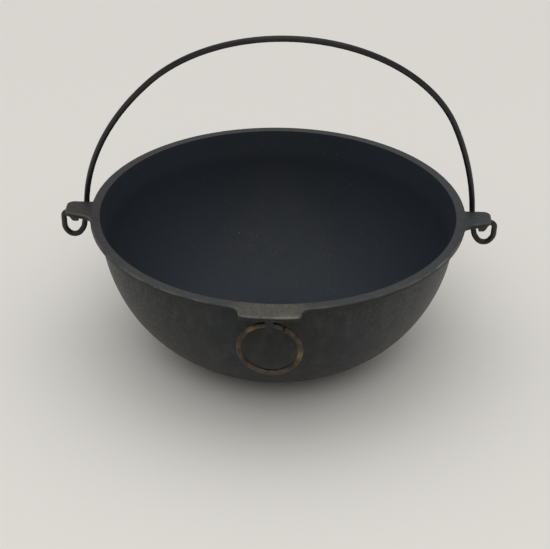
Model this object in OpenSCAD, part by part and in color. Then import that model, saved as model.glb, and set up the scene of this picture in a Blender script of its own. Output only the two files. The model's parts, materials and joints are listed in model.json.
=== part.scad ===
// Cast iron scotch bowl: a round-bottomed bowl with a flat rim, two bail ears, a front tab,
// a wire bail and a split wire ring. Millimetres, Z up. The origin is the middle of the flat base.
// The bail's ears lie along X and the front tab points along -Y.

/* [Bowl] */
// Diameter over the flat rim
rim_d = 311; // [285:1:340]
// Width of the rim's flat top face
rim_w = 7.8; // [6:0.1:10.5]
// Thickness of the rim flange
rim_t = 3.4; // [2.5:0.1:6]
// How far the rim flange stands out past the wall under it
rim_out = 8.2; // [6:0.1:12]
// Radius of the rounded lip between the rim's top face and the inside wall
lip_r = 9; // [5:0.5:14]
// Radius of the fillet under the rim flange
rim_fillet = 2; // [0.5:0.1:4]
// Height from the base to the top of the rim
bowl_h = 126; // [100:1:150]
// Thickness of the wall
wall_t = 4; // [3:0.1:6]
// Thickness of the floor
floor_t = 5; // [3:0.1:8]
// Diameter of the flat that the bowl stands on
base_d = 80; // [50:1:120]

/* [Ears] */
// Thickness of the two ears and of the front tab
plate_t = 4.2; // [3.5:0.1:5]
// How far an ear reaches out past the rim
ear_out = 20.8; // [19:0.1:26]
// Distance from the middle of the bowl to an ear's back edge
ear_back = 4.5; // [3:0.1:8]
// Distance from the middle of the bowl to an ear's front corner
ear_front = 16.7; // [14:0.1:22]
// Slant of an ear's front edge
ear_slant = 16; // [5:1:25]
// Radius of an ear's back corner
ear_back_r = 6; // [2:0.5:8]
// Radius of an ear's front corner
ear_front_r = 6.5; // [4:0.5:9]
// Radius of the fillet that runs an ear's front edge into the rim
ear_fillet = 11; // [4:0.5:16]

/* [Lugs under the ears] */
// Width of a lug where it leaves its ear
lug_top_w = 10.5; // [8:0.1:12]
// Width of a lug along its bottom
lug_tip_w = 4; // [3:0.1:5]
// How far a lug's inner side slants outwards on its way down
lug_in = 1; // [0:0.1:2]
// Depth of a lug's bottom under the ear's top face
lug_drop = 13; // [12.5:0.1:16]
// Distance from the middle of the bowl to a lug's front face
lug_front = 6.8; // [5.5:0.1:9]
// Radius of a lug's lower back corner
lug_back_r = 5.5; // [3:0.1:6]
// Radius of a lug's lower front corner
lug_front_r = 3; // [1:0.1:4]
// Distance of the pin hole's middle in front of the ear's back edge
pin_in = 4.5; // [4.4:0.1:6]
// Depth of the pin hole's middle under the ear's top face
pin_drop = 7.5; // [7.5:0.1:10]
// Gap all round the bail's pin in its hole
pin_play = 0.4; // [0.2:0.05:0.6]

/* [Bail] */
// Diameter of the bail's wire
wire_d = 4.7; // [3.5:0.1:5]
// How far outside the rim the middles of the bail's sides would stand upright
bail_out = 7.5; // [6:0.1:12]
// How far below the rim the bail's sides would stand upright
bail_low = 34; // [10:1:60]
// Height of the crown above the rim, measured along the bail
bail_rise = 191.6; // [165:1:230]
// How much smaller the crown's radius is than half of the bail's width
crown_in = 23.7; // [14:0.1:40]
// Distance that use has pulled the crown to the right
crown_shift = 8.3; // [0:0.1:12]
// Angle that the bail leans forward when its stems rest against the ears
bail_lean = 22; // [5:1:35]
// Gap between the stems and the ears' back edges
stop_gap = 0.3; // [0.1:0.05:1]
// Width of an eye along its bottom, between the middles of its two legs
eye_w = 16; // [15.6:0.1:19]
// How much narrower an eye is at its pin than along its bottom
eye_close = 1.4; // [0:0.1:2]
// Depth of an eye's bottom under its pin
eye_drop = 24.7; // [22:0.1:34]
// How far an eye's inner leg spreads outwards on its way down
eye_spread = 4.3; // [3:0.1:6]
// How far the bottom of an eye lies behind its pin
eye_behind = 6.8; // [4:0.1:9]
// Radius of the bends at the bottom of an eye
eye_r = 7.8; // [5:0.1:7.8]
// Radius of the bend between an eye's outer leg and its pin
pin_bend_r = 5.5; // [3:0.1:6]

/* [Front tab] */
// Width of the tab where its sides have run into the rim
tab_w = 59; // [50:0.5:76]
// How far the tab reaches out past the rim
tab_out = 11.3; // [10:0.1:16]
// Radius of the tab's front corners
tab_corner = 5.5; // [4:0.5:8]
// Radius of the fillets that run the tab's sides into the rim
tab_fillet = 7; // [4.5:0.5:10]
// Width of the rib where it leaves the tab
rib_top_w = 5.4; // [4:0.1:8]
// Width of the rib along its lower edge
rib_tip_w = 3.8; // [3:0.1:6]
// Depth of the rib's front edge under the tab's top face
rib_front_drop = 13; // [11:0.1:18]
// Depth at which the rib runs into the bowl's wall
rib_wall_drop = 25; // [20:0.5:40]
// Distance of the ring's hole behind the tab's front edge
ring_hole_in = 5.4; // [5:0.1:8]
// Depth of the ring hole's middle under the tab's top face
ring_hole_drop = 9.7; // [8.5:0.1:11]
// Gap all round the ring's wire in its hole
ring_play = 0.6; // [0.5:0.05:1]

/* [Ring] */
// Diameter of the ring at the middle of its wire
ring_d = 46.8; // [36:0.2:56]
// Diameter of the ring's wire
ring_wire_d = 4.2; // [3:0.1:5]
// Width of the gap between the ring's cut ends
ring_gap = 1.1; // [0.3:0.1:3]
// Angle of the gap from the top of the ring, towards the right
ring_gap_at = 26; // [16:1:180]
// Angle by which the ring hangs in towards the bowl, held by the friction of its hole
ring_lean = 6.8; // [0:0.2:10]
// Angle by which the ring's right side is turned forward in its hole
ring_turn = 4.2; // [0:0.2:5]

/* [Hidden] */

// Steps in a quarter of a profile's curve
steps = 24;
// Steps in a corner of an outline
corner_steps = 8;
// How far a cutter or a web runs into its neighbour
bite = 1;
// How far the fillets of the outlines run in past the rim's edge
dip = 0.1;
// Length and height of the swelling where two stretches of wire meet
seam_l = 0.6;
seam_t = 0.03;

rim_r = rim_d / 2;
mouth_r = rim_r - rim_w;
body_r = rim_r - rim_out;
inner_r = body_r - wall_t;
base_r = base_d / 2;
wire_r = wire_d / 2;
ring_wire_r = ring_wire_d / 2;

// Outer ellipse's top, and the height of the middle of the lip's arc
shoulder_z = bowl_h - rim_t - rim_fillet;
lip_z = bowl_h - sqrt(lip_r * lip_r - pow(inner_r + lip_r - mouth_r, 2));

ear_tip = rim_r + ear_out;
pin_y = ear_back - pin_in;
pin_z = bowl_h - pin_drop;
bail_half = rim_r + bail_out;
crown_r = bail_half - crown_in;
hole_y = -(rim_r + tab_out - ring_hole_in);
hole_z = bowl_h - ring_hole_drop;

function unit(v) = v / norm(v);

// Points along an arc about c, from angle a to angle b
function arc(c, r, a, b, n = corner_steps) =
    [for (i = [0:n]) c + r * [cos(a + (b - a) * i / n), sin(a + (b - a) * i / n)]];

// Quarter ellipse from the flat bottom at height low up to an upright wall at height high
function quarter(flat_r, wall_r, low, high) =
    [for (i = [0:steps]) [flat_r + (wall_r - flat_r) * sin(90 * i / steps),
                          low + (high - low) * (1 - cos(90 * i / steps))]];

// Outside of the bowl, filled in to the axis
module bowl_outside() {
    rotate_extrude($fn = 120)
        polygon(concat(
            [[0, 0]],
            quarter(base_r, body_r, 0, shoulder_z),
            arc([body_r + rim_fillet, shoulder_z], rim_fillet, 180, 90),
            [[rim_r, bowl_h - rim_t], [rim_r, bowl_h], [0, bowl_h]]));
}

// Inside of the bowl, which is cut away
module bowl_inside() {
    rotate_extrude($fn = 120)
        polygon(concat(
            [[0, floor_t]],
            quarter(base_r, inner_r, floor_t, lip_z),
            arc([inner_r + lip_r, lip_z], lip_r, 180,
                180 - acos((inner_r + lip_r - mouth_r) / lip_r)),
            [[mouth_r, bowl_h + bite], [0, bowl_h + bite]]));
}

// Outline of the right ear, seen from above. The front edge slants towards the rim, and its
// fillet touches both that edge and the rim.
function ear_outline() =
    let (low = ear_slant - 90,
         corner = [ear_tip - ear_front_r, ear_front_r - ear_front],
         out = [cos(low), sin(low)],
         inward = [-cos(ear_slant), -sin(ear_slant)],
         start = corner + (ear_front_r + ear_fillet) * out,
         near = rim_r - dip + ear_fillet,
         along = -start * inward - sqrt(pow(start * inward, 2) - start * start + near * near),
         fillet = start + along * inward)
    concat(
        [[inner_r, ear_back]],
        arc([ear_tip - ear_back_r, ear_back - ear_back_r], ear_back_r, 90, 0),
        arc(corner, ear_front_r, 0, low),
        arc(fillet, ear_fillet, low + 180, atan2(-fillet[1], -fillet[0])),
        [[inner_r, fillet[1]]]);

// Side outline of a lug as [y, z], with z measured down from the ear's top face
function lug_outline() =
    concat([[ear_back, -bite]],
        arc([ear_back - lug_back_r, lug_back_r - lug_drop], lug_back_r, 0, -90),
        arc([lug_front_r - lug_front, lug_front_r - lug_drop], lug_front_r, -90, -180),
        [[-lug_front, -bite]]);

// End outline of a lug as [x, z]. Its outer side slants in from the ear's tip, and seen from
// above it also keeps inside the ear's outline.
function lug_end() =
    let (inside = ear_tip - lug_top_w)
    [[inside, -bite], [inside, -plate_t], [inside + lug_in, -lug_drop],
     [inside + lug_in + lug_tip_w, -lug_drop], [ear_tip - bite / 2, -plate_t],
     [ear_tip - bite / 2, -bite]];

// Right ear with its lug and pin hole
module ear() {
    difference() {
        union() {
            translate([0, 0, bowl_h - plate_t])
                linear_extrude(plate_t) polygon(ear_outline());
            intersection() {
                translate([0, 0, bowl_h - bite - lug_drop])
                    linear_extrude(lug_drop) polygon(ear_outline());
                translate([rim_r, 0, bowl_h]) rotate([90, 0, 90])
                    linear_extrude(ear_out) polygon(lug_outline());
                translate([0, 0, bowl_h]) rotate([90, 0, 0])
                    linear_extrude(2 * lug_drop, center = true) polygon(lug_end());
            }
        }
        translate([ear_tip - lug_top_w / 2, pin_y, pin_z]) rotate([0, 90, 0])
            cylinder(h = 2 * lug_top_w, r = wire_r + pin_play, center = true, $fn = 48);
    }
}

// Outline of the front tab's right half, seen from above and turned to point along +X. Each
// side is a front corner that runs straight on into the fillet at the rim.
function tab_half() =
    let (front_r = rim_r + tab_out,
         corner_at = front_r - tab_corner,
         fillet_at = rim_r - dip + tab_fillet,
         both = tab_corner + tab_fillet,
         fillet_a = asin(tab_w / 2 / rim_r),
         corner_a = fillet_a - acos((corner_at * corner_at + fillet_at * fillet_at - both * both)
                                    / (2 * corner_at * fillet_at)),
         corner = corner_at * [cos(corner_a), sin(corner_a)],
         fillet = fillet_at * [cos(fillet_a), sin(fillet_a)],
         turn = atan2(fillet[1] - corner[1], fillet[0] - corner[0]))
    concat(
        arc([0, 0], front_r, 0, corner_a),
        arc(corner, tab_corner, corner_a, turn),
        arc(fillet, tab_fillet, turn + 180, fillet_a + 180),
        [[inner_r, tab_w / 2], [inner_r, 0]]);

// Side outline of the rib as [distance from the bowl's axis, z under the tab's top face]
function rib_outline() =
    [[inner_r, -bite], [rim_r + tab_out, -bite], [rim_r + tab_out, -rib_front_drop],
     [rim_r + tab_out - ring_hole_in, -rib_front_drop - ring_wire_r],
     [inner_r, -rib_wall_drop]];

// Front tab with the rib that the ring hangs from
module front_tab() {
    rotate([0, 0, -90]) difference() {
        union() {
            translate([0, 0, bowl_h - plate_t]) linear_extrude(plate_t) {
                polygon(tab_half());
                mirror([0, 1]) polygon(tab_half());
            }
            intersection() {
                translate([0, 0, bowl_h]) rotate([90, 0, 0])
                    linear_extrude(rib_top_w, center = true) polygon(rib_outline());
                translate([0, 0, bowl_h]) rotate([90, 0, 90])
                    linear_extrude(rim_r + tab_out)
                        polygon([[-rib_top_w / 2, -bite], [-rib_top_w / 2, -plate_t],
                                 [-rib_tip_w / 2, -rib_wall_drop], [rib_tip_w / 2, -rib_wall_drop],
                                 [rib_top_w / 2, -plate_t], [rib_top_w / 2, -bite]]);
            }
        }
        translate([-hole_y, 0, hole_z]) rotate([90, 0, 0])
            cylinder(h = 2 * rib_top_w, r = ring_wire_r + ring_play, center = true, $fn = 48);
    }
}

// Bowl, rim, ears, lugs, tab and rib, poured as one piece
module bowl_casting() {
    color("#3c3d40") difference() {
        union() {
            bowl_outside();
            ear();
            mirror([1, 0, 0]) ear();
            front_tab();
        }
        bowl_inside();
    }
}

// Straight round bar from p to q
module straight(p, q, r = wire_r) {
    along = q - p;
    translate(p)
        rotate([0, acos(along[2] / norm(along)), atan2(along[1], along[0])])
            cylinder(h = norm(along), r = r, $fn = 24);
}

// Hair-thin swelling that joins the two stretches of wire that meet at p, along unit vector go
module seam(p, go) {
    straight(p - seam_l / 2 * go, p + seam_l / 2 * go, wire_r + seam_t);
}

// Bent wire: an arc of radius r that starts at p along unit vector go, and turns by angle
// towards unit vector side
module bend(p, go, side, r, angle) {
    axis = cross(go, side);
    middle = p + r * side;
    multmatrix([[-side[0], go[0], axis[0], middle[0]],
                [-side[1], go[1], axis[1], middle[1]],
                [-side[2], go[2], axis[2], middle[2]]])
        rotate_extrude(angle = angle, $fn = 56)
            translate([r, 0]) circle(r = wire_r, $fn = 24);
}

// Wire along a chain of points, with a bend of radius radii[i] at each inner point
module wire_chain(points, radii) {
    last = len(points) - 1;
    go = [for (i = [0:last - 1]) unit(points[i + 1] - points[i])];
    turn = [for (i = [0:last]) i == 0 || i == last ? 0 : acos(go[i - 1] * go[i])];
    reach = [for (i = [0:last]) radii[i] * tan(turn[i] / 2)];
    for (i = [0:last - 1])
        straight(points[i] + reach[i] * go[i], points[i + 1] - reach[i + 1] * go[i]);
    for (i = [1:last - 1])
        bend(points[i] - reach[i] * go[i - 1], go[i - 1],
             unit(go[i] - (go[i] * go[i - 1]) * go[i - 1]), radii[i], turn[i]);
    seam(points[0], go[0]);
    for (i = [1:last - 1]) {
        seam(points[i] - reach[i] * go[i - 1], go[i - 1]);
        seam(points[i] + reach[i] * go[i], go[i]);
    }
}

// Where the bail's stem passes an ear's back edge at the height of the rim's top
stem_y = ear_back + (wire_r + stop_gap) / cos(bail_lean);

// Radius of the side arc that meets the crown's arc on the side whose stem is out at across
function side_r(across) =
    let (drop = bail_low + bail_rise - crown_r)
    (across * across + drop * drop - crown_r * crown_r) / (2 * (across - crown_r));

// One side of the bail, drawn on the right: side arc, stem and eye. The crown's middle is at
// x = shift.
module bail_side(shift) {
    across = bail_half - shift;
    radius = side_r(across);
    middle_x = shift + across - radius;
    low_a = asin(bail_low / radius);
    high_a = atan2(bail_low + bail_rise - crown_r, shift - middle_x);
    stem_x = middle_x + radius * cos(low_a);

    // Arcs, in the plane of the bail
    translate([0, stem_y, bowl_h]) rotate([90 + bail_lean, 0, 0]) {
        translate([middle_x, -bail_low, 0]) rotate([0, 0, low_a])
            rotate_extrude(angle = high_a - low_a, $fn = 360)
                translate([radius, 0]) circle(r = wire_r, $fn = 24);
        translate([shift, bail_rise - crown_r, 0]) rotate([0, 0, high_a])
            rotate_extrude(angle = 90 - high_a, $fn = 160)
                translate([crown_r, 0]) circle(r = wire_r, $fn = 24);
        seam([shift + crown_r * cos(high_a), bail_rise - crown_r * (1 - sin(high_a)), 0],
             [sin(high_a), -cos(high_a), 0]);
        seam([shift, bail_rise, 0], [1, 0, 0]);
    }

    // Stem, eye and pin. The pin's end closes the eye in front of the stem.
    down = [sin(low_a), cos(low_a) * sin(bail_lean), -cos(low_a) * cos(bail_lean)];
    leg_x = stem_x + eye_spread;
    wire_chain(
        [[stem_x, stem_y, bowl_h],
         [stem_x, stem_y, bowl_h] + wire_d / 1.5 * down,
         [leg_x, pin_y + eye_behind + wire_d / 3, pin_z - eye_drop],
         [leg_x + eye_w, pin_y + eye_behind, pin_z - eye_drop],
         [leg_x + eye_w - eye_close, pin_y, pin_z],
         [stem_x + 0.5, pin_y, pin_z]],
        [0, 2 * wire_d, eye_r, eye_r, pin_bend_r, 0]);
}

// Wire bail with an eye at each end
module bail() {
    color("#2f2c29") {
        bail_side(crown_shift);
        mirror([1, 0, 0]) bail_side(-crown_shift);
    }
}

// Ring of round wire with a narrow gap between its ends, hanging from the rib under the tab
module pull_ring() {
    gap_angle = 2 * asin(ring_gap / ring_d);
    color("#8a6a4c")
        translate([0, hole_y, hole_z]) rotate([ring_lean, 0, 0]) rotate([0, 0, -ring_turn])
            translate([0, 0, -ring_d / 2]) rotate([90, 0, 0])
                rotate([0, 0, 90 - ring_gap_at + gap_angle / 2])
                    rotate_extrude(angle = 360 - gap_angle, $fn = 120)
                        translate([ring_d / 2, 0]) circle(r = ring_wire_r, $fn = 32);
}

bowl_casting();
bail();
pull_ring();
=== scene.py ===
# %% [markdown]
# # A cast iron scotch bowl
#
# The real object is three pieces: one iron casting (bowl, flat rim, two ears with lugs, a front
# tab with a rib), one length of bent wire (the bail) and one split wire ring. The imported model
# gives the sizes and the joints. This script makes the surfaces that the eye sees: softened
# edges, sand-cast skin, worn rims and wire that was bent by hand.
#
# Sizes are in millimetres while a shape is worked out, and become metres when its mesh is made.

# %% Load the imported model
import json

import bpy
import numpy as np
from mathutils import Matrix, Vector


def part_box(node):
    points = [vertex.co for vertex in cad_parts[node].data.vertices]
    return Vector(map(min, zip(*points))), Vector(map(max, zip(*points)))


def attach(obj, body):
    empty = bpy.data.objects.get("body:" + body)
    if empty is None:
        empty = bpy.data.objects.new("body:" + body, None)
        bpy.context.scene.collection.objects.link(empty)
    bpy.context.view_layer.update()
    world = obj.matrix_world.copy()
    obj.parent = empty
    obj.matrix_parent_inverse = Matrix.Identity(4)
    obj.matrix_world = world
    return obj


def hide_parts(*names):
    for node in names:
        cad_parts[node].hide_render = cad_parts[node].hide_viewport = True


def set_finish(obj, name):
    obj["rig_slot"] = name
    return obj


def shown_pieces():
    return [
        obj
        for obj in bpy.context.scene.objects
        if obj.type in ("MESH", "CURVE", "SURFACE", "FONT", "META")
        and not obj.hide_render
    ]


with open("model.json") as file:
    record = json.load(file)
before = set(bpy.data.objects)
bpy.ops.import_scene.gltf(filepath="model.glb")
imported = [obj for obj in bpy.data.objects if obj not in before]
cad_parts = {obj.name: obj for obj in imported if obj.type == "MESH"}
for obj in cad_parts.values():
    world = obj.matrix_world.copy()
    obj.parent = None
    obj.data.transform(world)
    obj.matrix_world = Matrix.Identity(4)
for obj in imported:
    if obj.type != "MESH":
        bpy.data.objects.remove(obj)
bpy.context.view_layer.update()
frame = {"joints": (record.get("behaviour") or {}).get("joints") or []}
MM = 0.001

# %% [markdown]
# ## Sizes
#
# The casting's box gives the rim's height and radius, the ears' reach and the tab's reach. The
# box of each wire piece gives its reach too. The rest are the real sizes of the casting, named
# here once.

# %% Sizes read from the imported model
iron_low, iron_high = (np.array(corner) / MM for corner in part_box("bowl_casting"))
bail_low, bail_high = (np.array(corner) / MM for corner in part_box("bail"))
hinges = {joint["name"]: np.array(joint["pos_m"]) / MM for joint in frame["joints"]}

RIM_TOP = iron_high[2]
RIM_R = iron_high[1]
EAR_TIP = iron_high[0]
TAB_FRONT = -iron_low[1]
print("rim", RIM_R, "at height", RIM_TOP, "ear tip", EAR_TIP, "tab front", TAB_FRONT)

# %% Sizes of the casting
MOUTH_R = RIM_R - 7.8
BODY_R = RIM_R - 8.2
INNER_R = BODY_R - 4.0
BASE_R = 40.0
FLOOR = 5.0
RIM_T = 3.4
PLATE_T = 4.2
LIP_R = 9.0
UNDER_FILLET = 2.0
TOP_ROUND = 0.9
LOW_ROUND = 0.7

# %% [markdown]
# ## Numpy surfaces
#
# Every piece is a grid of points: rows run along a profile and columns run round the piece. The
# whole grid is worked out at once as an array. One function turns a grid into a closed mesh. It
# closes open ends with a fan round a pole, and it measures the signed volume, because a grid that
# was worked out the other way round would have its faces pointing inwards.

# %% A grid of points becomes a closed mesh
def ring_quads(index):
    """Four-sided faces between each row of vertex numbers and the next; columns close round."""
    below, above = index[:-1], index[1:]
    corners = (below, np.roll(below, -1, axis=1), np.roll(above, -1, axis=1), above)
    return np.stack(corners, axis=-1).reshape(-1, 4)


def fan(row, pole):
    """Triangles between a row of vertex numbers and one pole."""
    return np.stack((row, np.full_like(row, pole), np.roll(row, -1)), axis=-1)


def signed_volume(points, triangles):
    """A sixth of the sum of a . (b x c) over the triangles: positive if they face outwards."""
    a, b, c = (points[triangles[:, i]] for i in range(3))
    return np.einsum("ij,ij->", a, np.cross(b, c)) / 6


def make_piece(name, grid, body, slot, node, closed=False, **attributes):
    """Makes a mesh from a grid of millimetres. A closed grid meets itself along its rows;
    another ends in a pole at its first and last row. Attributes are one number for each point
    of the grid."""
    rows, columns = grid.shape[:2]
    points = grid.reshape(-1, 3)
    index = np.arange(rows * columns).reshape(rows, columns)
    if closed:
        quads = ring_quads(np.vstack((index, index[:1])))
        caps = np.empty((0, 3), int)
    else:
        quads = ring_quads(index)
        poles = np.array((grid[0].mean(axis=0), grid[-1].mean(axis=0)))
        first, last = len(points), len(points) + 1
        points = np.vstack((points, poles))
        caps = np.vstack((fan(index[0], first), fan(index[-1][::-1], last)))
    triangles = np.vstack((quads[:, :3], quads[:, [0, 2, 3]], caps))
    if signed_volume(points, triangles) < 0:
        quads, caps = quads[:, ::-1], caps[:, ::-1]

    mesh = bpy.data.meshes.new(name)
    mesh.from_pydata((points * MM).tolist(), [], quads.tolist() + caps.tolist())
    mesh.polygons.foreach_set("use_smooth", [True] * len(mesh.polygons))
    for key, values in attributes.items():
        values = np.broadcast_to(values, (rows, columns)).reshape(-1)
        if not closed:
            values = np.append(values, (values[0], values[-1]))
        layer = mesh.attributes.new(key, "FLOAT", "POINT")
        layer.data.foreach_set("value", values.astype(np.float32))
    mesh.validate()
    piece = bpy.data.objects.new(name, mesh)
    bpy.context.scene.collection.objects.link(piece)
    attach(piece, body)
    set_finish(piece, slot)
    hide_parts(node)
    print(name, "has", len(triangles), "triangles")
    return piece


# %% Small helpers for curves
def arc(centre, radius, start, stop, count):
    """Points centre + radius (cos a, sin a), with a from start to stop in degrees."""
    angle = np.radians(np.linspace(start, stop, count))[:, None]
    return np.array(centre) + radius * np.hstack((np.cos(angle), np.sin(angle)))


def smooth_step(value, low, high):
    """0 below low, 1 above high, and 3t^2 - 2t^3 between."""
    t = np.clip((value - low) / (high - low), 0, 1)
    return t * t * (3 - 2 * t)


def cylinder_grid(radius, angle, height):
    """Points at that radius, angle and height; the three arrays are broadcast together."""
    radius, angle, height = np.broadcast_arrays(radius, angle, height)
    return np.stack((radius * np.cos(angle), radius * np.sin(angle), height), axis=-1)


# %% [markdown]
# ## The casting's outline
#
# Seen from above, the rim is a circle that the ears and the front tab break. The outline is a
# closed chain of arcs. An ear is drawn as the right one, and the tab as its right half; mirror
# images are read backwards to keep going round the same way. The right ear's front corner is
# rounder than the left one's.

# %% Outline of the rim with its ears and its tab
EAR_BACK = 4.5
EAR_FRONT = 16.7
EAR_SLANT = 16.0
EAR_BACK_R = 6.0
LEFT_FRONT_R = 6.5
RIGHT_FRONT_R = 9.5
EAR_FILLET = 11.0
CREASE_R = 1.0
TAB_W = 59.0
TAB_CORNER = 5.5
TAB_FILLET = 7.0


def toward(angle):
    """Unit direction at an angle in degrees."""
    return np.array((np.cos(np.radians(angle)), np.sin(np.radians(angle))))


def direction(vector):
    """Angle of a direction in degrees."""
    return np.degrees(np.arctan2(vector[1], vector[0]))


def ear_outline(front_r):
    """Right ear, anticlockwise from its front fillet to the crease behind it. The fillet touches
    both the rim and the slanting front edge."""
    corner = np.array((EAR_TIP - front_r, front_r - EAR_FRONT))
    start = corner + (front_r + EAR_FILLET) * toward(EAR_SLANT - 90)
    inward = toward(EAR_SLANT + 180)
    near = RIM_R + EAR_FILLET
    along = -start @ inward - np.sqrt((start @ inward) ** 2 - start @ start + near**2)
    fillet = start + along * inward
    crease_y = EAR_BACK + CREASE_R
    crease_x = np.sqrt((RIM_R + CREASE_R) ** 2 - crease_y**2)
    return np.vstack((
        arc(fillet, EAR_FILLET, direction(-fillet), EAR_SLANT + 90, 14),
        arc(corner, front_r, EAR_SLANT - 90, 0, 14),
        arc((EAR_TIP - EAR_BACK_R, EAR_BACK - EAR_BACK_R), EAR_BACK_R, 0, 90, 14),
        np.linspace((EAR_TIP - 8, EAR_BACK), (RIM_R + 4, EAR_BACK), 5),
        arc((crease_x, crease_y), CREASE_R, 270, 180 + direction((crease_x, crease_y)), 8),
    ))


def tab_half():
    """Right half of the tab, anticlockwise from the middle of its front to its fillet. Its corner
    runs straight on into the fillet, so the side is one S."""
    corner_at, fillet_at = TAB_FRONT - TAB_CORNER, RIM_R + TAB_FILLET
    both = TAB_CORNER + TAB_FILLET
    fillet_a = np.degrees(np.arcsin(TAB_W / 2 / RIM_R)) - 90
    between = (corner_at**2 + fillet_at**2 - both**2) / (2 * corner_at * fillet_at)
    corner_a = fillet_a - np.degrees(np.arccos(between))
    corner, fillet = corner_at * toward(corner_a), fillet_at * toward(fillet_a)
    turn = direction(fillet - corner)
    return np.vstack((
        arc((0, 0), TAB_FRONT, -90, corner_a, 14)[:-1],
        arc(corner, TAB_CORNER, corner_a, turn, 12)[:-1],
        arc(fillet, TAB_FILLET, turn + 180, fillet_a + 180, 12),
    ))


def flip_x(points):
    """Mirror image, read backwards so that it still runs anticlockwise."""
    return (points * (-1, 1))[::-1]


def rim_between(before, after, count):
    """Arc of the rim's circle between the last point of one chain and the first of the next."""
    start = np.degrees(np.arctan2(before[-1][1], before[-1][0]))
    stop = np.degrees(np.arctan2(after[0][1], after[0][0]))
    stop += 360 * (stop < start)
    return arc((0, 0), RIM_R, start, stop, count)[1:-1]


ear, tab = ear_outline(RIGHT_FRONT_R), tab_half()
chains = [ear, flip_x(ear_outline(LEFT_FRONT_R)), np.vstack((flip_x(tab)[:-1], tab))]
outline = np.vstack([
    ear, rim_between(ear, chains[1], 132),
    chains[1], rim_between(chains[1], chains[2], 52),
    chains[2], rim_between(chains[2], ear, 52),
])
step = np.roll(outline, -1, axis=0) - np.roll(outline, 1, axis=0)
outward = np.stack((step[:, 1], -step[:, 0]), axis=1)
outward /= np.linalg.norm(outward, axis=1)[:, None]
around = np.arctan2(outline[:, 1], outline[:, 0])
print("outline of", len(outline), "points, turning", round(np.degrees(np.ptp(np.unwrap(around)))), "degrees")

# %% [markdown]
# ## The casting's skin
#
# The bowl, rim, ears and tab are one pour of iron, so they are one surface here too. A profile
# runs from the middle of the floor, up the inside wall, over the lip and the rim's flat top,
# round its edge, back under it and down the outside to the base. Inside and outside walls are
# quarter ellipses turned about the axis. Between the mouth's circle and the outline the rows are
# straight lines, so the same rows that make the narrow rim also stretch out into the ears.
#
# A sand casting is never quite true: the walls wander by a fraction of a millimetre.

# %% Profile of the casting
SHOULDER_Z = RIM_TOP - RIM_T - UNDER_FILLET
LIP_Z = RIM_TOP - np.sqrt(LIP_R**2 - (INNER_R + LIP_R - MOUTH_R) ** 2)
LIP_DEPTH = 22.0
LIP_POWER = 1.2
BASE_ROUND = 1.5
WANDER = 0.22


def wander(angle, height, phase):
    """Slow waves round and up the wall, as a pattern leaves them in the sand."""
    return WANDER * (
        0.5 * np.sin(2 * angle + phase)
        + 0.3 * np.sin(5 * angle + 0.06 * height + 2 * phase)
        + 0.2 * np.sin(9 * angle - 0.09 * height + 3 * phase)
    )


def quarter(flat_r, wall_r, low, high, count):
    """Quarter ellipse from a flat of radius flat_r at height low to an upright wall at high."""
    t = np.radians(np.linspace(0, 90, count))
    return np.stack((flat_r + (wall_r - flat_r) * np.sin(t), low + (high - low) * (1 - np.cos(t))), 1)


def wall_rows(profile, phase):
    """Rows of a turned wall. The wander dies away towards the rim and the flat bottom."""
    radius, height = profile[:, :1], profile[:, 1:]
    loose = smooth_step(height, 6, 20) * (1 - smooth_step(height, RIM_TOP - 22, RIM_TOP - 8))
    return cylinder_grid(radius + loose * wander(around[None], height, phase), around[None], height)


def with_height(plan, height):
    """Rows of plan points at these heights."""
    return np.concatenate((plan, np.broadcast_to(height, plan.shape[:2])[..., None]), axis=-1)


def rim_rows():
    """Rows over the rim's top, round its edge and back under it to the wall's fillet."""
    edge = outline - TOP_ROUND * outward
    mouth = cylinder_grid(MOUTH_R, around, 0.0)[:, :2]
    flat = np.array((0.0, 0.03, 0.3, 0.6, 0.9, 0.97))[:, None, None]
    top = with_height(mouth + flat * (edge - mouth), RIM_TOP)

    beyond = smooth_step(np.hypot(*outline.T), RIM_R + 0.2, RIM_R + 3)
    thick = RIM_T + (PLATE_T - RIM_T) * beyond
    turn = np.radians(np.linspace(0, 90, 7))[:, None]
    upper = with_height(
        edge + TOP_ROUND * np.sin(turn)[..., None] * outward,
        RIM_TOP - TOP_ROUND * (1 - np.cos(turn)),
    )
    side = with_height(
        np.repeat(outline[None], 2, axis=0),
        RIM_TOP - TOP_ROUND - np.array((0.3, 0.8))[:, None] * (thick - TOP_ROUND - LOW_ROUND),
    )
    lower = with_height(
        outline - LOW_ROUND * (1 - np.cos(turn))[..., None] * outward,
        RIM_TOP - thick + LOW_ROUND * (1 - np.sin(turn)),
    )
    inner_edge = outline - LOW_ROUND * outward
    root = cylinder_grid(BODY_R + UNDER_FILLET, around, 0.0)[:, :2]
    back = np.array((0.03, 0.15, 0.35, 0.6, 0.8, 0.97))[:, None, None]
    plan = inner_edge + back * (root - inner_edge)
    past_rim = smooth_step(np.hypot(plan[..., 0], plan[..., 1]), RIM_R - 1, RIM_R + 1.5)
    under = with_height(plan, RIM_TOP - RIM_T - (PLATE_T - RIM_T) * past_rim)
    return top, np.concatenate((upper, side, lower)), under


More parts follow.
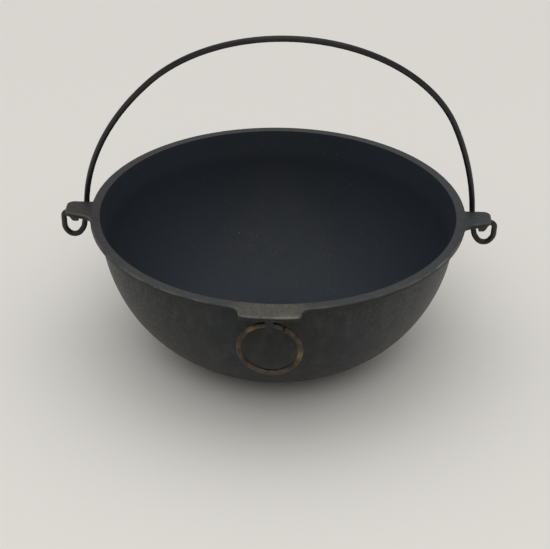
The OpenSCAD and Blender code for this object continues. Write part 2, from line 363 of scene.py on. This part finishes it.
def casting_skin():
    """All rows of the casting, with the masks that its finish reads."""
    inside = quarter(BASE_R, INNER_R, FLOOR, LIP_Z, 44)
    inside = np.vstack(((12, FLOOR), (28, FLOOR), inside[:-1]))
    lip_z = np.concatenate((np.linspace(LIP_Z, RIM_TOP - 1, 8), RIM_TOP - np.array((0.4, 0.1))))
    inside = np.vstack((inside, np.stack((np.full_like(lip_z, INNER_R), lip_z), axis=1)))
    flare = np.clip((inside[:, 1] - RIM_TOP + LIP_DEPTH) / LIP_DEPTH, 0, 1) ** LIP_POWER
    inside[:, 0] += (MOUTH_R - INNER_R) * flare
    top, edge, under = rim_rows()
    fillet = arc((BODY_R + UNDER_FILLET, SHOULDER_Z), UNDER_FILLET, 90, 180, 6)
    outside = quarter(BASE_R, BODY_R, 0, SHOULDER_Z, 48)[::-1][1:-1]
    foot = np.array(((BASE_R - 1, 0.0), (28, 0.0), (12, 0.0)))
    groups = [
        wall_rows(inside, 0.4), top, edge, under,
        wall_rows(fillet, 1.7), wall_rows(outside, 1.7), wall_rows(foot, 1.7),
    ]
    counts = [len(group) for group in groups]
    inner = np.repeat((1.0, 0, 0, 0, 0, 0, 0), counts)[:, None]
    # worn is 0.35 over the rim's top and 1 round its edge. The finish draws wear from it, and on the edge's side
    # below the brink, painted shade.
    worn = np.repeat((0, 0.35, 1.0, 0, 0, 0, 0), counts)[:, None]
    return np.concatenate(groups), inner, worn


skin, inner_mask, worn_mask = casting_skin()
bowl_skin = make_piece(
    "bowl_skin", skin, "bowl", "seasoned_iron", "bowl_casting", inner=inner_mask, worn=worn_mask
)

# %% [markdown]
# ## Lugs and rib
#
# Under each ear a lug carries the bail's pin, and under the tab a thin rib carries the ring. Each
# is a slab with a hole, thicker where it leaves the plate above it. It is worked out as a loop
# carried round the hole: out over one face, round the outer edge, back over the other face and
# through the hole. How far out it reaches in a direction is where a ray from the hole's middle
# meets the slab's outline.

# %% A slab with a hole
def reach(corners, angle):
    """Distance from (0, 0) to a closed polygon round it, for rays at these angles."""
    ray = np.stack((np.cos(angle), np.sin(angle)), axis=1)[:, None]
    start = corners[None]
    along = (np.roll(corners, -1, axis=0) - corners)[None]
    cross = ray[..., 0] * along[..., 1] - ray[..., 1] * along[..., 0]
    cross = np.where(np.abs(cross) < 1e-9, np.nan, cross)
    out = (start[..., 0] * along[..., 1] - start[..., 1] * along[..., 0]) / cross
    part = (start[..., 0] * ray[..., 1] - start[..., 1] * ray[..., 0]) / cross
    hit = (out > 0) & (part >= 0) & (part <= 1)
    return np.nanmin(np.where(hit, out, np.nan), axis=1)


def holed_slab(corners, hole_r, sides, edge=0.8, hole_edge=0.35, columns=120):
    """Loop round the hole: [distances in the slab's plane, offsets across it]. Sides gives the
    offsets of both faces at a place in the plane."""
    angle = np.linspace(0, 2 * np.pi, columns, endpoint=False)
    far = reach(corners, angle)[None]
    turn = np.radians(np.linspace(0, 90, 6))[:, None]
    inner_r = hole_r + hole_edge
    face = inner_r + np.array((0.1, 0.5, 0.92))[:, None] * (far - edge - inner_r)
    rounded = far - edge * (1 - np.sin(turn))
    bore = inner_r - hole_edge * np.sin(turn) + 0 * far
    distance = np.vstack((face, rounded, rounded[::-1], face[::-1], bore, bore[::-1]))
    depth = edge * (1 - np.cos(turn))
    bore_depth = hole_edge * (1 - np.cos(turn))
    drop = np.vstack((0 * face[:, :1], depth, depth[::-1], 0 * face[:, :1], bore_depth, bore_depth[::-1]))
    upper = np.repeat((True, False, False, True), (9, 9, 6, 6))[:, None]
    along, up = distance * np.cos(angle), distance * np.sin(angle)
    low, high = sides(along, up)
    return along, up, np.where(upper, high - drop, low + drop)


# %% Lugs under the ears
pin = hinges["bail_hinge"]
LUG_TOP_W = 10.5
LUG_TIP_W = 4.0
LUG_IN = 1.0
LUG_DROP = 13.8
LUG_FRONT = 8.6
LUG_BACK_R = 5.5
LUG_FRONT_R = 4.5
PIN_HOLE_R = 2.75
pin_drop = RIM_TOP - pin[2]


def lug_sides(along, up):
    """Distances of a lug's inner and outer face from the bowl's axis. The outer one slants in from
    the ear's tip, and never stands past the ear's rounded back corner."""
    down = np.clip((pin_drop - PLATE_T - up) / (LUG_DROP - PLATE_T), 0, 1)
    inside = EAR_TIP - LUG_TOP_W + LUG_IN * down
    outside = EAR_TIP - 0.5 - (LUG_TOP_W - 0.5 - LUG_IN - LUG_TIP_W) * down
    corner = np.clip(pin[1] + along - (EAR_BACK - EAR_BACK_R), 0, EAR_BACK_R)
    ear_edge = EAR_TIP - EAR_BACK_R + np.sqrt(EAR_BACK_R**2 - corner**2)
    return inside, np.minimum(outside, ear_edge - 0.1)


back_at = EAR_BACK - pin[1]
lug_corners = np.vstack((
    arc((LUG_FRONT_R - LUG_FRONT - pin[1], LUG_FRONT_R - LUG_DROP + pin_drop), LUG_FRONT_R, 180, 270, 14),
    arc((back_at - LUG_BACK_R, LUG_BACK_R - LUG_DROP + pin_drop), LUG_BACK_R, 270, 360, 20),
    ((back_at, pin_drop - 1), (-LUG_FRONT - pin[1], pin_drop - 1)),
))
along, up, across = holed_slab(lug_corners, PIN_HOLE_R, lug_sides)
for side, name in ((1, "lug_right"), (-1, "lug_left")):
    lug = np.stack((side * across, pin[1] + along, pin[2] + up), axis=-1)
    make_piece(name, lug, "bowl", "seasoned_iron", "bowl_casting", closed=True, inner=0, worn=0.15)

# %% Rib under the tab
ring_pivot = hinges["ring_hinge"]
RIB_TIP = 1.9
RIB_TOP = 2.7
RIB_DROP = 13.0
RIB_BELLY = 15.1
RIB_WALL_DROP = 25.0
RING_HOLE_R = 2.7
hole_drop = RIM_TOP - ring_pivot[2]
hole_in = TAB_FRONT + ring_pivot[1]


def rib_sides(along, up):
    """Offsets of the rib's two faces, with a small flare under the tab."""
    flare = np.clip(up - (hole_drop - PLATE_T - 1), 0, 1)
    half = RIB_TIP + (RIB_TOP - RIB_TIP) * smooth_step(up, -RIB_WALL_DROP + hole_drop, 4) + flare
    return -half, half


into_wall = ring_pivot[1] + np.array((MOUTH_R + 1.5, BODY_R - 0.3, BODY_R - 2.0))
rib_corners = np.array((
    (hole_in, hole_drop - 1), (into_wall[0], hole_drop - 1), (into_wall[1], hole_drop - 7),
    (into_wall[2], hole_drop - RIB_WALL_DROP),
    (0, hole_drop - RIB_BELLY), (hole_in - 1.5, hole_drop - RIB_DROP - 0.7),
    (hole_in, hole_drop - RIB_DROP + 0.9),
))
along, up, across = holed_slab(rib_corners, RING_HOLE_R, rib_sides)
rib = np.stack((across, ring_pivot[1] - along, ring_pivot[2] + up), axis=-1)
make_piece("tab_rib", rib, "bowl", "seasoned_iron", "bowl_casting", closed=True, inner=0, worn=0.25)

# %% [markdown]
# ## Bent wire
#
# The bail and the ring are round wire. A wire is a circle carried along a path. At each place on
# the path the circle needs two directions across it; both wires lie nearly in a plane, so that
# plane's normal gives them, and the tube never twists. The last stretch of each end draws in a
# little, which is the chamfer that a cut wire gets from wear.

# %% A tube along a path
def directions(path):
    """Unit tangents: the mean of the directions before and after each place."""
    leg = np.diff(path, axis=0)
    leg /= np.linalg.norm(leg, axis=1)[:, None]
    mean = np.vstack((leg[:1], leg[:-1] + leg[1:], leg[-1:]))
    return mean / np.linalg.norm(mean, axis=1)[:, None]


def tube(path, radius, normal, columns=28, chamfer=0.5, slant=0.0):
    """Path point + radius (cos a across + sin a up), with a chamfer at both ends. Slant moves
    the end faces along the wire by that share of the height across it, as a slanted cut does."""
    tangent = directions(path)
    first = path[0] + chamfer * tangent[0]
    last = path[-1] - chamfer * tangent[-1]
    path = np.vstack((path[:1], first, path[1:-1], last, path[-1:]))
    tangent = np.vstack((tangent[:1], tangent[:1], tangent[1:-1], tangent[-1:], tangent[-1:]))
    across = np.cross(tangent, normal)
    across /= np.linalg.norm(across, axis=1)[:, None]
    up = np.cross(across, tangent)
    size = np.full(len(path), radius)
    size[[0, -1]] -= chamfer
    angle = np.linspace(0, 2 * np.pi, columns, endpoint=False)[None, :, None]
    grid = path[:, None] + size[:, None, None] * (
        np.cos(angle) * across[:, None] + np.sin(angle) * up[:, None]
    )
    ends = np.zeros(len(path))
    ends[[0, 1, -2, -1]] = slant
    return grid + (ends * size)[:, None, None] * np.sin(angle) * tangent[:, None]


def bent(points, radii, count=14):
    """Straight legs between points, with an arc of the given radius at each inner point."""
    legs = np.diff(points, axis=0)
    legs /= np.linalg.norm(legs, axis=1)[:, None]
    pieces = [points[:1]]
    for i, radius in enumerate(radii, start=1):
        before, after = legs[i - 1], legs[i]
        turn = np.arccos(before @ after)
        side = after - (after @ before) * before
        side /= np.linalg.norm(side)
        angle = np.linspace(0, turn, count)[:, None]
        start = points[i] - radius * np.tan(turn / 2) * before
        pieces.append(start + radius * (np.sin(angle) * before + (1 - np.cos(angle)) * side))
    return np.vstack(pieces + [points[-1:]])


# %% [markdown]
# ## Bail
#
# One length of 3/16 inch wire. Its crown is an arc, and on each side a flatter arc runs down to
# the ear's back edge, where the stem rests and keeps the bail standing. Below the ear the wire
# goes round an eye and ends as the pin in the lug's hole. Years of carrying have pulled the
# crown to one side, so the two sides differ.

# %% Path of the bail
WIRE_R = 2.35
LEAN = np.radians(22)
STOP_GAP = 0.3
BAIL_HALF = RIM_R + 7.5
BAIL_LOW = 34.0
CROWN_R = BAIL_HALF - 23.7
CROWN_SHIFT = 8.3
EYE_W = 16.0
EYE_CLOSE = 1.4
EYE_DROP = 24.7
EYE_SPREAD = 4.3
EYE_BEHIND = 6.8
EYE_ROUND = 11.5
SIDE_BEND_R = 12.5
LOW_BEND_R = 6.0
PIN_BEND_R = 5.5
EYE_STEP = 2 * WIRE_R / 3
stem_y = EAR_BACK + (WIRE_R + STOP_GAP) / np.cos(LEAN)
bail_rise = (bail_high[2] - RIM_TOP - WIRE_R) / np.cos(LEAN)
bail_normal = np.array((0, np.cos(LEAN), np.sin(LEAN)))


def in_bail(points):
    """Points of the bail's own plane, which leans forward from the ears' back edges."""
    across, up = points.T
    return np.stack((across, stem_y - up * np.sin(LEAN), RIM_TOP + up * np.cos(LEAN)), axis=1)


def bail_side(shift, deeper, wider):
    """Right half of the bail, from its crown down to the pin's inner end. The eyes were bent by
    hand, so each is given its own depth and reach beside the usual ones."""
    reach_out = BAIL_HALF - shift
    drop = BAIL_LOW + bail_rise - CROWN_R
    side_r = (reach_out**2 + drop**2 - CROWN_R**2) / (2 * (reach_out - CROWN_R))
    middle_x = BAIL_HALF - side_r
    low_a = np.degrees(np.arcsin(BAIL_LOW / side_r))
    high_a = np.degrees(np.arctan2(drop, shift - middle_x))
    crown = arc((shift, bail_rise - CROWN_R), CROWN_R, 90, high_a, 44)[:-1]
    flank = arc((middle_x, -BAIL_LOW), side_r, high_a, low_a, 48)
    stem = in_bail(flank[-1:])[0]
    lean_out = np.radians(low_a)
    down = np.array((np.sin(lean_out), np.cos(lean_out) * np.sin(LEAN), -np.cos(lean_out) * np.cos(LEAN)))
    leg_x = stem[0] + EYE_SPREAD + wider
    low_y, low_z = pin[1] + EYE_BEHIND, pin[2] - EYE_DROP - deeper
    corner = np.tan(np.radians(22.5))
    side_z = low_z + EYE_ROUND * (1 - corner)
    low_x = leg_x + EYE_W / 2 * np.array((1 - corner, 1 + corner))
    eye = np.array((
        stem, stem + 2 * EYE_STEP * down, (leg_x, low_y + EYE_STEP, side_z),
        (low_x[0], low_y + 0.8 * EYE_STEP, low_z), (low_x[1], low_y + 0.3 * EYE_STEP, low_z),
        (leg_x + EYE_W, 0.8 * low_y, side_z),
        (stem[0] + EYE_SPREAD + EYE_W - EYE_CLOSE, pin[1], pin[2]),
        (stem[0] + 0.5, pin[1], pin[2]),
    ))
    eye_path = bent(eye, (4 * WIRE_R, SIDE_BEND_R, LOW_BEND_R, LOW_BEND_R, SIDE_BEND_R, PIN_BEND_R))
    return np.vstack((in_bail(np.vstack((crown, flank))), eye_path[1:]))


right = bail_side(CROWN_SHIFT, -1.5, -1.0)
left = bail_side(-CROWN_SHIFT, 1.0, -0.5) * (-1, 1, 1)
bail_path = np.vstack((left[::-1], right[1:]))
bail_wire = make_piece("bail_wire", tube(bail_path, WIRE_R, bail_normal), "bail", "dark_wire", "bail")
length = np.linalg.norm(np.diff(bail_path, axis=0), axis=1).sum()
print("bail: rise", round(bail_rise, 1), "mm, wire length", round(length), "mm")

# %% [markdown]
# ## Ring
#
# A ring of thinner wire, cut from a coil and closed by hand, so a slanted gap is left between
# its ends. Friction in its hole holds it a few degrees off plumb, in towards the bowl, and its
# right side is turned a little forward.

# %% Path of the ring
RING_WIRE_R = 2.1
RING_R = 23.4
RING_GAP = 1.1
GAP_AT = 26.0
CUT_SLANT = 0.35
RING_LEAN = np.radians(6.8)
RING_TURN = np.radians(4.2)
sideways = np.array((np.cos(RING_TURN), -np.sin(RING_TURN) * np.cos(RING_LEAN),
                     -np.sin(RING_TURN) * np.sin(RING_LEAN)))
hanging = np.array((0, np.sin(RING_LEAN), -np.cos(RING_LEAN)))
half_gap = np.degrees(RING_GAP / 2 / RING_R)
turned = arc((0, 0), RING_R, 90 - GAP_AT - half_gap, 90 - GAP_AT + half_gap - 360, 160)
ring_middle = ring_pivot + RING_R * hanging
ring_path = ring_middle + turned[:, :1] * sideways - turned[:, 1:] * hanging
ring_grid = tube(ring_path, RING_WIRE_R, np.cross(hanging, sideways), chamfer=0.35, slant=CUT_SLANT)
ring_wire = make_piece("ring_wire", ring_grid, "ring", "coppered_wire", "pull_ring")
print("ring: wire", 2 * RING_WIRE_R, "mm, outside", 2 * (RING_R + RING_WIRE_R), "mm")

# %% [markdown]
# ## Building materials from nodes
#
# Colours are written as the hex values that a screen shows, and turned to linear light once.
# One helper adds a node: settings go to the node, and each socket gets a value or a link.

# %% Helpers for materials
def linear(hex_colour):
    """sRGB hex to linear light: c / 12.92 below 0.04045, ((c + 0.055) / 1.055)^2.4 above."""
    c = np.array([int(hex_colour[i:i + 2], 16) for i in (1, 3, 5)]) / 255
    c = np.where(c <= 0.04045, c / 12.92, ((c + 0.055) / 1.055) ** 2.4)
    return (*c.tolist(), 1.0)


def add(tree, kind, sockets=None, **settings):
    """Adds a node, sets its settings, and gives each named socket a value or a link."""
    node = tree.nodes.new(kind)
    for key, value in settings.items():
        setattr(node, key, value)
    for key, value in (sockets or {}).items():
        if isinstance(value, bpy.types.NodeSocket):
            tree.links.new(value, node.inputs[key])
        else:
            node.inputs[key].default_value = value
    return node


def new_material(name):
    """An empty material with its shader: returns (material, tree, shader)."""
    material = bpy.data.materials.new(name)
    material.use_nodes = True
    tree = material.node_tree
    shader = next(node for node in tree.nodes if node.type == "BSDF_PRINCIPLED")
    return material, tree, shader


def grain(tree, place, size_mm, detail=2.0, roughness=0.5):
    """Noise whose features are about size_mm across; its value is centred on 0.5."""
    sockets = {"Vector": place, "Scale": 1000 / size_mm, "Detail": detail, "Roughness": roughness}
    return add(tree, "ShaderNodeTexNoise", sockets).outputs["Fac"]


def ramp(tree, value, low, high):
    """0 where value is below low, 1 above high, smooth between."""
    sockets = {"Value": value, "From Min": low, "From Max": high}
    return add(tree, "ShaderNodeMapRange", sockets, interpolation_type="SMOOTHSTEP").outputs["Result"]


def sums(tree, operation, first, second):
    """One step of arithmetic on two values."""
    return add(tree, "ShaderNodeMath", {0: first, 1: second}, operation=operation).outputs[0]


def blend(tree, share, first, second):
    """First colour where share is 0, second where it is 1."""
    sockets = {"Factor": share, 6: first, 7: second}
    return add(tree, "ShaderNodeMix", sockets, data_type="RGBA").outputs[2]


def spot(tree, place, centre_mm, size_mm):
    """1 at a place on the piece, falling to 0 at size_mm from it."""
    centre = tuple(c * MM for c in centre_mm)
    away = add(tree, "ShaderNodeVectorMath", {0: place, 1: centre}, operation="DISTANCE").outputs["Value"]
    near = add(tree, "ShaderNodeMapRange", {"Value": away, "From Max": size_mm * MM, "To Min": 1.0, "To Max": 0.0})
    return near.outputs["Result"]


# %% [markdown]
# ## Seasoned cast iron
#
# Grey iron, sand cast, then blackened by oil that was baked on. Inside, the seasoning is smooth
# and nearly black with a cool cast. Outside it is rougher, and it shifts between brown and blue
# grey. On the rim's top it is worn to a neutral dark grey, and on the sharp edges bare metal
# shows through in places.

# %% Cast iron material
def cast_iron():
    """Seasoned cast iron, read from the masks inner and worn and from object coordinates."""
    material, tree, shader = new_material("seasoned cast iron")
    place = add(tree, "ShaderNodeTexCoord").outputs["Object"]
    inner = add(tree, "ShaderNodeAttribute", attribute_name="inner").outputs["Fac"]
    worn = add(tree, "ShaderNodeAttribute", attribute_name="worn").outputs["Fac"]

    split = add(tree, "ShaderNodeSeparateXYZ", {"Vector": place})
    drift = ramp(tree, grain(tree, place, 45, 3.0), 0.4, 0.6)
    outside = blend(tree, drift, linear("#10161b"), linear("#171815"))
    # Painted light: aside is 1 towards the left and right, where more light falls. There the outside takes a neutral
    # tone that is lighter on the right, and the light sand pits are drawn only there.
    aside = ramp(tree, sums(tree, "ABSOLUTE", split.outputs["X"], 0.0), 0.03, 0.145)
    # Painted light from the right: the outside's right side is drawn lighter, and the rim's top there a bluer grey.
    painted_right_light = ramp(tree, split.outputs["X"], 0.0, 0.15)
    outside = blend(tree, aside, outside, blend(tree, painted_right_light, linear("#121416"), linear("#303130")))
    streaked = add(tree, "ShaderNodeMapping", {"Vector": place, "Scale": (1.0, 1.0, 0.35)}).outputs["Vector"]
    streaks = ramp(tree, grain(tree, streaked, 11, 5.0, 0.65), 0.45, 0.7)
    outside = blend(tree, sums(tree, "MULTIPLY", streaks, 0.25), outside, linear("#484946"))
    pits = sums(tree, "MULTIPLY", ramp(tree, grain(tree, place, 2.4, 4.0, 0.75), 0.42, 0.6), aside)
    outside = blend(tree, sums(tree, "MULTIPLY", pits, 0.36), outside, linear("#5e5f5e"))
    inside = blend(tree, drift, linear("#1d232a"), linear("#1f242b"))
    # Painted light: the inside walls are drawn lighter towards the left and right.
    inside = blend(tree, aside, inside, linear("#252b34"))
    # Painted sheen: the inside is drawn lighter round the middle of its floor.
    painted_floor_sheen = ramp(tree, spot(tree, place, (0, -10, FLOOR), 125), 0.0, 0.8)
    inside = blend(tree, painted_floor_sheen, inside, linear("#262c32"))
    colour = blend(tree, inner, outside, inside)
    cloud = ramp(tree, grain(tree, place, 14, 4.0, 0.6), 0.35, 0.75)
    cloud = sums(tree, "MULTIPLY", cloud, sums(tree, "SUBTRACT", 0.15, sums(tree, "MULTIPLY", inner, 0.11)))
    colour = blend(tree, cloud, colour, linear("#3f4043"))

    brink = ramp(tree, split.outputs["Z"], (RIM_TOP - 1.6) * MM, (RIM_TOP - 0.6) * MM)
    top = sums(tree, "MULTIPLY", ramp(tree, worn, 0.1, 0.4), brink)
    # Painted shade: below the brink, the side of the rim's edge and the rounding under it are drawn nearly black.
    flank = sums(tree, "MULTIPLY", ramp(tree, worn, 0.55, 1.0), sums(tree, "SUBTRACT", 1.0, brink))
    colour = blend(tree, sums(tree, "MULTIPLY", flank, 0.85), colour, linear("#151516"))
    # The rim's top is drawn a bluer grey on the right: painted light from the right.
    top_colour = blend(tree, painted_right_light, linear("#2c2c2c"), linear("#2b2e31"))
    # Painted sheen: the rim's top is drawn lighter towards the front and the back.
    along = ramp(tree, sums(tree, "ABSOLUTE", split.outputs["Y"], 0.0), 0.04, 0.13)
    top_colour = blend(tree, along, top_colour, linear("#343536"))
    grit = ramp(tree, grain(tree, place, 2.2, 3.0, 0.7), 0.4, 0.7)
    top_colour = blend(tree, sums(tree, "MULTIPLY", grit, 0.22), top_colour, linear("#5a5a58"))
    colour = blend(tree, sums(tree, "MULTIPLY", top, 0.9), colour, top_colour)
    tab_top = ramp(tree, spot(tree, place, (0, -158, RIM_TOP), 34), 0.0, 0.5)
    colour = blend(tree, sums(tree, "MULTIPLY", tab_top, top), colour, linear("#43423a"))
    grit = sums(tree, "MULTIPLY", grit, sums(tree, "MULTIPLY", tab_top, top))
    colour = blend(tree, sums(tree, "MULTIPLY", grit, 0.3), colour, linear("#77756a"))
    rim_edge = sums(tree, "MULTIPLY", ramp(tree, worn, 0.55, 1.0), brink)
    patches = ramp(tree, grain(tree, place, 24, 4.0, 0.6), 0.42, 0.62)
    edge = sums(tree, "MULTIPLY", rim_edge, patches)
    colour = blend(tree, sums(tree, "MULTIPLY", edge, 0.22), colour, linear("#85837d"))
    strips = sums(
        tree, "MAXIMUM",
        spot(tree, place, (13, -TAB_FRONT, RIM_TOP - 0.5), 12),
        spot(tree, place, (133, -80.6, RIM_TOP - 1), 12),
    )
    bare = sums(tree, "MULTIPLY", ramp(tree, strips, 0.0, 0.4), rim_edge)
    colour = blend(tree, sums(tree, "MULTIPLY", bare, 0.22), colour, linear("#a79f90"))
    rubbed = sums(tree, "MULTIPLY", spot(tree, place, (13, -TAB_FRONT - 5, RIM_TOP), 14), top)
    colour = blend(tree, sums(tree, "MULTIPLY", rubbed, 0.35), colour, linear("#8c887e"))
    dust = sums(
        tree, "MAXIMUM",
        spot(tree, place, (15, -156, RIM_TOP), 18),
        sums(
            tree, "MAXIMUM",
            spot(tree, place, (2, 22, FLOOR), 26), spot(tree, place, (10, -70, FLOOR + 16), 60),
        ),
    )
    dust = sums(tree, "MULTIPLY", dust, 0.09)
    specks = ramp(tree, sums(tree, "ADD", grain(tree, place, 1.6, 1.0), dust), 0.785, 0.81)
    colour = blend(tree, sums(tree, "MULTIPLY", specks, 0.6), colour, linear("#9a9a98"))

    rough = add(tree, "ShaderNodeMapRange", {"Value": grain(tree, place, 5, 3.0), "To Min": 0.42, "To Max": 0.6})
    dull = sums(tree, "ADD", rough.outputs["Result"], sums(tree, "MULTIPLY", inner, 0.12))
    sand = grain(tree, place, 0.9, 3.0, 0.7)
    bump = add(tree, "ShaderNodeBump", {"Height": sand, "Strength": 0.22, "Distance": 0.0004})
    shader.inputs["Specular IOR Level"].default_value = 0.32
    tree.links.new(colour, shader.inputs["Base Color"])
    tree.links.new(dull, shader.inputs["Roughness"])
    tree.links.new(bump.outputs["Normal"], shader.inputs["Normal"])
    return material


# %% [markdown]
# ## The two wires
#
# The bail is drawn steel wire that has gone dark brown with oxide. The ring is steel wire that
# was washed with copper against rust; the copper has browned, and it has worn through to grey
# next to the gap.

# %% Wire materials
def oxidised_steel():
    """Dark brown oxide on drawn wire: fine streaks, and olive brown on the eyes."""
    material, tree, shader = new_material("oxidised steel wire")
    place = add(tree, "ShaderNodeTexCoord").outputs["Object"]
    patch = ramp(tree, grain(tree, place, 12, 4.0), 0.4, 0.62)
    colour = blend(tree, patch, linear("#161617"), linear("#1e1d1e"))
    split = add(tree, "ShaderNodeSeparateXYZ", {"Vector": place})
    low = ramp(tree, split.outputs["Z"], (RIM_TOP + 2) * MM, (RIM_TOP - 8) * MM)
    colour = blend(tree, sums(tree, "MULTIPLY", low, 0.7), colour, linear("#2f2a20"))
    rough = add(tree, "ShaderNodeMapRange", {"Value": grain(tree, place, 4, 3.0), "To Min": 0.4, "To Max": 0.6})
    bump = add(tree, "ShaderNodeBump", {"Height": grain(tree, place, 1.0, 3.0), "Strength": 0.15, "Distance": 0.0003})
    shader.inputs["Specular IOR Level"].default_value = 0.35
    tree.links.new(colour, shader.inputs["Base Color"])
    tree.links.new(rough.outputs["Result"], shader.inputs["Roughness"])
    tree.links.new(bump.outputs["Normal"], shader.inputs["Normal"])
    return material


def coppered_steel():
    """Browned copper wash on steel, worn through to grey near the gap, with two painted highlights."""
    material, tree, shader = new_material("coppered steel wire")
    place = add(tree, "ShaderNodeTexCoord").outputs["Object"]
    patch = ramp(tree, grain(tree, place, 8, 4.0, 0.6), 0.4, 0.6)
    colour = blend(tree, patch, linear("#382e27"), linear("#4e4235"))
    # Painted highlights: two golden spots, on the ring's right side and on its upper left.
    painted_glints = sums(
        tree, "MAXIMUM",
        spot(tree, place, (22, ring_middle[1], ring_middle[2] - 3), 7),
        spot(tree, place, (-13, ring_middle[1], ring_middle[2] + 18), 6),
    )
    colour = blend(tree, sums(tree, "MULTIPLY", painted_glints, 0.9), colour, linear("#8c7d4f"))
    gap_side = spot(tree, place, (6, ring_middle[1], ring_middle[2] + RING_R - 1), 8)
    colour = blend(tree, ramp(tree, gap_side, 0.0, 0.5), colour, linear("#3c3a38"))
    rough = add(tree, "ShaderNodeMapRange", {"Value": grain(tree, place, 3, 3.0), "To Min": 0.35, "To Max": 0.55})
    bump = add(tree, "ShaderNodeBump", {"Height": grain(tree, place, 0.8, 3.0), "Strength": 0.12, "Distance": 0.0002})
    shader.inputs["Metallic"].default_value = 0.6
    tree.links.new(colour, shader.inputs["Base Color"])
    tree.links.new(rough.outputs["Result"], shader.inputs["Roughness"])
    tree.links.new(bump.outputs["Normal"], shader.inputs["Normal"])
    return material


# %% Give every shown piece its finish
iron, dark_wire, coppered_wire = cast_iron(), oxidised_steel(), coppered_steel()
finishes = {"seasoned_iron": iron, "dark_wire": dark_wire, "coppered_wire": coppered_wire}
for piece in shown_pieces():
    piece.data.materials.clear()
    piece.data.materials.append(finishes[piece["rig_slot"]])

# %% [markdown]
# ## Floor, light and camera
#
# The bowl stands on pale paper in the light of a bright room: a pale world that is brightest
# overhead, and a weak wide lamp in front.

# %% Floor
def paper_floor():
    """A wide pale sheet at height 0."""
    size = 6.0
    corners = [(-size, -size, 0), (size, -size, 0), (size, size, 0), (-size, size, 0)]
    mesh = bpy.data.meshes.new("paper_floor")
    mesh.from_pydata(corners, [], [(0, 1, 2, 3)])
    floor = bpy.data.objects.new("paper_floor", mesh)
    bpy.context.scene.collection.objects.link(floor)
    material, tree, shader = new_material("pale paper")
    shader.inputs["Base Color"].default_value = linear("#e5e2dc")
    shader.inputs["Roughness"].default_value = 0.9
    shader.inputs["Specular IOR Level"].default_value = 0.1
    mesh.materials.append(material)


paper_floor()

# %% Light
def soft_light():
    """A pale world, brighter with the cube of the height, and one wide lamp in front."""
    world = bpy.data.worlds.new("bright room")
    world.use_nodes = True
    tree = world.node_tree
    background = tree.nodes["Background"]
    split = add(tree, "ShaderNodeSeparateXYZ", {0: add(tree, "ShaderNodeTexCoord").outputs["Generated"]})
    height = sums(tree, "POWER", sums(tree, "MAXIMUM", split.outputs["Z"], 0.0), 3.0)
    strength = sums(tree, "ADD", sums(tree, "MULTIPLY", height, 1.45), 0.27)
    tree.links.new(strength, background.inputs["Strength"])
    background.inputs["Color"].default_value = (1.0, 1.0, 1.0, 1.0)
    bpy.context.scene.world = world
    lamp = bpy.data.lights.new("front_lamp", "AREA")
    lamp.shape = "DISK"
    lamp.size = 1.0
    lamp.energy = 5
    holder = bpy.data.objects.new("front_lamp", lamp)
    bpy.context.scene.collection.objects.link(holder)
    holder.location = (0.0, -1.6, 1.6)
    holder.rotation_euler = (np.radians(45), 0, 0)


soft_light()

# %% [markdown]
# ## Camera
#
# The photograph was taken from the front and about 29 degrees above. The camera looks at the
# middle of the rim, is turned a little clockwise, and is then tipped so that the rim's middle
# lands where the photograph has it.

# %% Camera
FRAME_W, FRAME_H = 550, 549
ELEVATION = 0.50278
AZIMUTH = 0.03376
ROLL = 0.00984
DISTANCE = 1.2440
FOCAL_PX = 1493.8
RIM_AT = (278.0, 208.7)
SENSOR = 36.0


def photo_camera():
    """Camera axes from the two angles, then the roll, then the tip that puts the rim's middle at
    its place in the frame."""
    ahead = Vector((
        -np.sin(AZIMUTH) * np.cos(ELEVATION), np.cos(AZIMUTH) * np.cos(ELEVATION), -np.sin(ELEVATION),
    ))
    right_hand = Vector((np.cos(AZIMUTH), np.sin(AZIMUTH), 0))
    level = Matrix((right_hand, ahead.cross(right_hand), ahead))
    aside = Vector((RIM_AT[0] - FRAME_W / 2, RIM_AT[1] - FRAME_H / 2, FOCAL_PX))
    tip = Vector((0, 0, 1)).rotation_difference(aside).to_matrix()
    to_camera = Matrix.Diagonal((1, -1, -1)) @ tip @ Matrix.Rotation(ROLL, 3, "Z") @ level
    data = bpy.data.cameras.new("photo_camera")
    data.sensor_width = SENSOR
    data.lens = SENSOR * FOCAL_PX / FRAME_W
    camera = bpy.data.objects.new("photo_camera", data)
    bpy.context.scene.collection.objects.link(camera)
    matrix = to_camera.transposed().to_4x4()
    matrix.translation = Vector((0, 0, RIM_TOP * MM)) - DISTANCE * ahead
    camera.matrix_world = matrix
    bpy.context.scene.camera = camera


photo_camera()
bpy.context.scene.view_settings.view_transform = "Standard"
